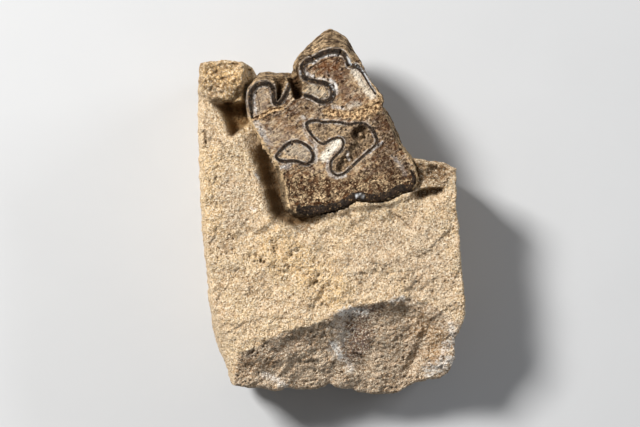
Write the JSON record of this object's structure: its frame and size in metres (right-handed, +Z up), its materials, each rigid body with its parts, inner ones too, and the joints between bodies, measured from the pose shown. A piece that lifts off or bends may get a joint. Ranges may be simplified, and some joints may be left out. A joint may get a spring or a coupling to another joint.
{
  "type": "fossil molar in rock matrix",
  "caption": "Worn fossil cheek tooth with folded enamel bands, set in a corner of a broken sandstone block and lying on the block's flat back.",
  "frame": {"origin": "middle of the part's bounding box in plan, at the resting face", "axes": "+Z up, out of the tooth's worn chewing face; +Y along the block's length, towards the free lobe of the tooth; +X across the block"},
  "size_m": [0.0893, 0.1231, 0.0398],
  "materials": {
    "sandstone": "rough",
    "fossil_tooth": "satin"
  },
  "bodies": {
    "root": {"matrix": "sandstone", "tooth": "fossil_tooth"}
  },
  "joints": []
}
